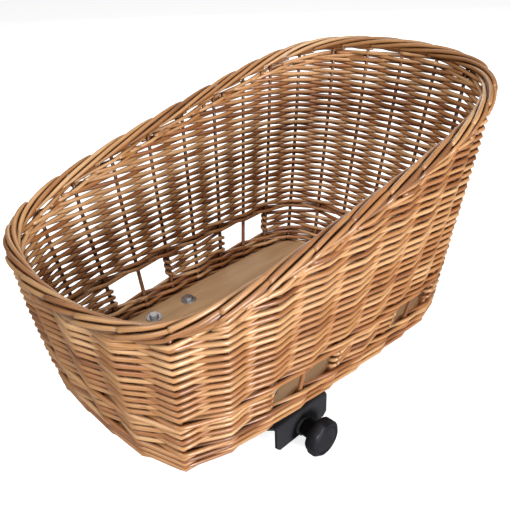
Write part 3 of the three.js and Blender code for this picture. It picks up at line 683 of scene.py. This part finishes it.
# Borders
def border_rod(rods, start, steps, rod_radius):
    """One rod of the rolled border: steps hold (strokes along, roll in degrees, share of the reach)."""
    steps = np.array(steps)
    fine = np.linspace(0, len(steps) - 1, 5 * (len(steps) - 1) + 1)
    along, roll, share = (np.interp(fine, np.arange(len(steps)), column) for column in steps.T)
    centre, out, up = border_frame(mouth_line, (start + along) * STAKES / BORDER_STROKES)
    reach = (BORDER_RADIUS - rod_radius) * share[:, None]
    roll = np.radians(roll)[:, None]
    path = centre + (out * np.cos(roll) + up * np.sin(roll)) * reach
    taper = 1.05 - 0.2 * np.linspace(0, 1, len(path))
    rods.add(smooth_path(path), rod_radius * taper, (0, 0, 1), sides=10)


def smooth_path(path):
    """Rounds a path's corners, with its ends kept."""
    for _ in range(2):
        path = np.concatenate([path[:1], 0.25 * path[:-2] + 0.5 * path[1:-1] + 0.25 * path[2:], path[-1:]])
    return path


def rolled_border():
    """A pair of rods at each stroke: the lower climbs outside, and the upper runs over the top."""
    rods = RodMesh()
    for stroke in range(BORDER_STROKES):
        start = stroke + RANDOM.uniform(-0.05, 0.05)
        turn = RANDOM.uniform(-4, 4)
        size = RANDOM.uniform(0.95, 1.05)
        pair = ((LOWER_ROD_STEPS, LOWER_ROD_RADIUS), (UPPER_ROD_STEPS, UPPER_ROD_RADIUS))
        for steps, radius in pair:
            steps = [(along, roll + turn, share) for along, roll, share in steps]
            border_rod(rods, start, steps, radius * size)
    core = np.arange(0, STAKES, 0.25)
    centre, out, up = border_frame(mouth_line, core)
    rods.add(centre - up * BORDER_CORE_DROP, BORDER_CORE_RADIUS, out, closed=True, tone=0.0)
    rods.build("rolled_border", "basket_body", THICK_ROD, ["rim_border"])


def foot_line(bay):
    """Middle line of the border round the foot."""
    plan = dict(FOOT_PLAN)
    plan["half_length"] -= FOOT_LINE_INSET
    plan["half_width"] -= FOOT_LINE_INSET
    x, y = outline(plan, angle_at(np.asarray(bay, float)))
    return np.stack([x, y, FOOT_LINE_HEIGHT + 0 * x], -1)


def foot_border():
    """Plain border of thick rods round the foot, one stroke to each stake."""
    rods = RodMesh()
    share = np.linspace(0, 1, 26)
    for stake in range(STAKES):
        bay = stake + FOOT_STROKE_BAYS * share + RANDOM.uniform(-0.05, 0.05)
        roll = np.radians(FOOT_ROLL_START - FOOT_ROLL_TURN * share)
        centre, out, up = border_frame(foot_line, bay)
        path = centre + out * (FOOT_REACH_OUT * np.cos(roll))[:, None]
        path = path + up * (FOOT_REACH_UP * np.sin(roll))[:, None]
        taper = 1.03 - 0.16 * share
        rods.add(path, FOOT_ROD_RADIUS * RANDOM.uniform(0.95, 1.05) * taper, up, sides=10)
    rods.build("foot_border", "basket_body", THICK_ROD, ["base_border"])


def woven_base():
    """Underside: thick sticks along the basket with thin rods woven across them."""
    rods = RodMesh()
    centre, half_length = FOOT_PLAN["centre"], FOOT_PLAN["half_length"]
    half_width = FOOT_PLAN["half_width"] - 10
    stick_rows = int(half_width // STICK_GAP)
    points = 30
    for row in range(-stick_rows, stick_rows + 1):
        x = np.linspace(-1, 1, points) * (half_length - 11) + centre
        path = np.stack([x, np.full(points, float(row * STICK_GAP)), np.full(points, BASE_MIDDLE)], -1)
        rods.add(path, STICK_RADIUS, (0, 1, 0))
    across = np.arange(-half_width + 2, half_width - 2, 3.0)
    first_x = centre - half_length + 12
    count = int(2 * (half_length - 12) / BASE_PITCH)
    for k in range(count):
        x = first_x + BASE_PITCH * (k + 0.5)
        wave = np.cos(np.pi * across / STICK_GAP + np.pi * k)
        taper = 1 + FOOT_PLAN["taper"] * (x - centre) / half_length
        path = np.stack([np.full(len(across), x), across * taper, BASE_MIDDLE + BASE_WAVE * wave], -1)
        rods.add(path, BASE_ROD_RADIUS, (1, 0, 0), sides=6)
    rods.build("woven_base_panel", "basket_body", WEAVER, ["wicker_base"])


# Metal and plastic
def lathe(name, profile, steps, axis_point, axis, ripple=None):
    """A turned piece: profile holds (distance along the axis, radius, share of ripple), in metres."""
    axis = Vector(axis)
    turn = axis.to_track_quat("Z", "Y").to_matrix()
    points, faces = [], []
    for along, radius, share in profile:
        for k in range(steps):
            angle = 2 * math.pi * k / steps
            r = radius - (ripple(angle) * share if ripple else 0)
            local = Vector((r * math.cos(angle), r * math.sin(angle), along))
            points.append(Vector(axis_point) + turn @ local)
    rings = len(profile)
    for i in range(rings - 1):
        for k in range(steps):
            m = (k + 1) % steps
            faces.append((i * steps + k, i * steps + m, (i + 1) * steps + m, (i + 1) * steps + k))
    faces.append(tuple(reversed(range(steps))))
    faces.append(tuple((rings - 1) * steps + k for k in range(steps)))
    mesh = bpy.data.meshes.new(name)
    mesh.from_pydata(points, [], faces)
    mesh.validate()
    mesh.shade_smooth()
    return bpy.data.objects.new(name, mesh)


def bevel(obj, width):
    """Softens the sharp edges of a piece."""
    made = obj.modifiers.new("bevel", "BEVEL")
    made.width = width
    made.segments = 2
    made.limit_method = "ANGLE"
    made.angle_limit = math.radians(40)
    made.harden_normals = False


def dress_node(name, material, width=0.0):
    """Gives a CAD node its finish, with softened edges."""
    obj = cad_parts[name]
    for i in range(len(obj.material_slots)):
        obj.material_slots[i].link = "OBJECT"
        obj.material_slots[i].material = material
    if width:
        bevel(obj, width)


def clamp_knob():
    """Fluted knob: a hub, a grip with rounded edges and a disc let into its face behind a groove."""
    hub_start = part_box("clamp_knob")[1][1]
    screw_low, screw_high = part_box("clamp_screw")
    centre = (0, hub_start, 0.5 * (screw_low[2] + screw_high[2]))
    hub = [(0.0, 4.4, 0), (0.0, 9.4, 0), (0.6, 10, 0), (14.3, 10, 0)]
    grip = [
        (15.3, 17, 0.3), (16.8, 19.8, 0.7), (19.8, 22, 1),
        (26.3, 22.2, 1), (28.8, 21, 0.8), (30.3, 19.3, 0.3),
    ]
    groove = [
        (30.8, 18.4, 0), (30.8, 16.7, 0), (30.4, 16.4, 0),
        (29.7, 16.3, 0), (29.7, 15.7, 0), (30.3, 15.4, 0),
    ]
    disc = [(30.6, 14.8, 0), (30.6, 8, 0), (30.6, 0.05, 0)]
    profile = [(along * MM, radius * MM, share) for along, radius, share in hub + grip + groove + disc]
    flutes = 9
    flute_depth = 1.1 * MM
    steps = 144

    def ripple(angle):
        return flute_depth * (0.5 + 0.5 * math.cos(flutes * angle))

    knob = lathe("fluted_knob", profile, steps, centre, (0, -1, 0), ripple)
    knob.data.materials.append(MOULDING)
    place(knob, "screw_and_knob", ["clamp_knob"])


def threaded_rod():
    """The clamp screw with its real thread."""
    low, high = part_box("clamp_screw")
    centre_z = 0.5 * (low[2] + high[2])
    start = low[1] + 0.4 * MM
    pitch, crest = 1.25 * MM, 4.0 * MM
    depth = 0.65 * MM
    steps = 16
    turns = int((high[1] - low[1] - 2 * MM) / pitch)
    rings = turns * 2
    points, faces = [], []
    for i in range(rings + 1):
        for k in range(steps):
            angle = 2 * math.pi * k / steps
            along = (i / 2 + k / steps) * pitch
            radius = crest - (depth if i % 2 else 0)
            points.append((radius * math.cos(angle), start + along, centre_z + radius * math.sin(angle)))
    for i in range(rings):
        for k in range(steps - 1):
            corner = i * steps + k
            faces.append((corner, corner + 1, corner + 1 + steps, corner + steps))
        if i + 2 <= rings:
            corner = (i + 1) * steps - 1
            last = (min(i + 3, rings)) * steps
            faces.append((corner, (i + 2) * steps, last, corner + steps))
    mesh = bpy.data.meshes.new("threaded_rod")
    faces = [tuple(dict.fromkeys(face)) for face in faces]
    mesh.from_pydata(points, [], [face for face in faces if len(face) > 2])
    mesh.validate()
    mesh.materials.append(ZINC)
    rod = bpy.data.objects.new("threaded_rod", mesh)
    place(rod, "screw_and_knob", ["clamp_screw"])


def hardware():
    """Finishes of the metal, plastic and wooden pieces, and the two pieces made anew."""
    for name in ("bridge_bracket", "sliding_jaw", "fixed_jaw"):
        dress_node(name, PAINT, 0.0006)
    for n in range(1, 5):
        dress_node(f"base_bolt_{n}", ZINC, 0.0005)
        dress_node(f"base_washer_{n}", ZINC, 0.0003)
        dress_node(f"base_nut_{n}", ZINC, 0.0005)
        dress_node(f"guide_nut_{n}", ZINC, 0.0005)
        dress_node(f"guide_bolt_{n}", PAINT, 0.0005)
    for name in ("knob_washer_1", "knob_washer_2", "retaining_ring", "screw_nut"):
        dress_node(name, ZINC, 0.0003)
    dress_node("base_board", PLYWOOD, 0.0005)
    clamp_knob()
    threaded_rod()


# Camera, fitted to the photograph
CAMERA_AT = Vector((-0.3961, -0.4724, 0.4907))
CAMERA_BACK = Vector((-0.6044, -0.6314, 0.4857)).normalized()
CAMERA_ROLL = math.radians(1.95)
FOCAL_PIXELS = 638.27
FRAME_PIXELS = 510


def camera():
    """Camera at the photograph's angle."""
    right = Vector((0, 0, 1)).cross(CAMERA_BACK).normalized()
    up = CAMERA_BACK.cross(right).normalized()
    turned_right = right * math.cos(CAMERA_ROLL) - up * math.sin(CAMERA_ROLL)
    turned_up = right * math.sin(CAMERA_ROLL) + up * math.cos(CAMERA_ROLL)
    data = bpy.data.cameras.new("camera")
    data.sensor_width = 36
    data.lens = 36 * FOCAL_PIXELS / FRAME_PIXELS
    data.clip_start = 0.01
    obj = bpy.data.objects.new("camera", data)
    obj.matrix_world = Matrix((
        (turned_right.x, turned_up.x, CAMERA_BACK.x, CAMERA_AT.x),
        (turned_right.y, turned_up.y, CAMERA_BACK.y, CAMERA_AT.y),
        (turned_right.z, turned_up.z, CAMERA_BACK.z, CAMERA_AT.z),
        (0, 0, 0, 1),
    ))
    bpy.context.collection.objects.link(obj)
    bpy.context.scene.camera = obj


# Floor and light. A light holds its name, place in metres, size in metres and power in watts
ROOM_LIGHT = 0.14
ROOM_SEEN = 1.0
FLOOR_GLOW = 0.8
LIGHTS_AIM = (0.05, 0, 0.12)
LIGHTS = (
    ("key", (-0.35, -2.25, 0.52), 0.6, 72),
    ("back", (1.7, 1.6, 1.3), 1.6, 22),
    ("fill", (-1.5, 0.1, 1.9), 1.0, 27),
    ("top", (0.0, -0.5, 2.3), 0.8, 14),
)


def floor_material():
    """Pale floor: white to the camera where the light reaches it, with a soft shadow."""
    n = Nodes("pale_floor")
    seen = n.node("ShaderNodeLightPath").outputs["Is Camera Ray"]
    n.link(n.mix(seen, (0.45, 0.45, 0.45), (0.7, 0.7, 0.7)), n.shader.inputs["Base Color"])
    n.shader.inputs["Roughness"].default_value = 0.9
    n.shader.inputs["Specular IOR Level"].default_value = 0.1
    glow = n.node("ShaderNodeEmission")
    glow.inputs["Strength"].default_value = FLOOR_GLOW
    both = n.node("ShaderNodeAddShader")
    n.link(n.shader.outputs[0], both.inputs[0])
    n.link(glow.outputs[0], both.inputs[1])
    pick = n.node("ShaderNodeMixShader")
    n.link(seen, pick.inputs[0])
    n.link(n.shader.outputs[0], pick.inputs[1])
    n.link(both.outputs[0], pick.inputs[2])
    n.link(pick.outputs[0], n.tree.nodes["Material Output"].inputs["Surface"])
    return n.material


def floor():
    """A wide floor just under the clamp."""
    size = 12
    z = CAD_BOX[0][2] - 0.5 * MM
    corners = [(-size, -size, z), (size, -size, z), (size, size, z), (-size, size, z)]
    mesh = bpy.data.meshes.new("floor")
    mesh.from_pydata(corners, [], [(0, 1, 2, 3)])
    mesh.materials.append(floor_material())
    obj = bpy.data.objects.new("floor", mesh)
    bpy.context.collection.objects.link(obj)


def area_light(name, at, aim, size, power):
    """A square light at a place, turned to face another."""
    data = bpy.data.lights.new(name, "AREA")
    data.shape = "SQUARE"
    data.size = size
    data.energy = power
    obj = bpy.data.objects.new(name, data)
    obj.location = at
    direction = Vector(aim) - Vector(at)
    obj.rotation_euler = direction.to_track_quat("-Z", "Y").to_euler()
    bpy.context.collection.objects.link(obj)


def lights():
    """Soft studio light, with a white room behind the floor that only the camera sees as bright."""
    world = bpy.data.worlds.new("studio")
    world.use_nodes = True
    background = world.node_tree.nodes["Background"]
    background.inputs["Color"].default_value = (1, 1, 1, 1)
    seen = world.node_tree.nodes.new("ShaderNodeLightPath")
    strength = world.node_tree.nodes.new("ShaderNodeMapRange")
    strength.inputs["To Min"].default_value = ROOM_LIGHT
    strength.inputs["To Max"].default_value = ROOM_SEEN
    world.node_tree.links.new(seen.outputs["Is Camera Ray"], strength.inputs["Value"])
    world.node_tree.links.new(strength.outputs["Result"], background.inputs["Strength"])
    bpy.context.scene.world = world
    for name, at, size, power in LIGHTS:
        area_light(name, at, LIGHTS_AIM, size, power)


bpy.context.scene.view_settings.view_transform = "Standard"
camera()
floor()
lights()
woven_wall()
rolled_border()
foot_border()
woven_base()
hardware()
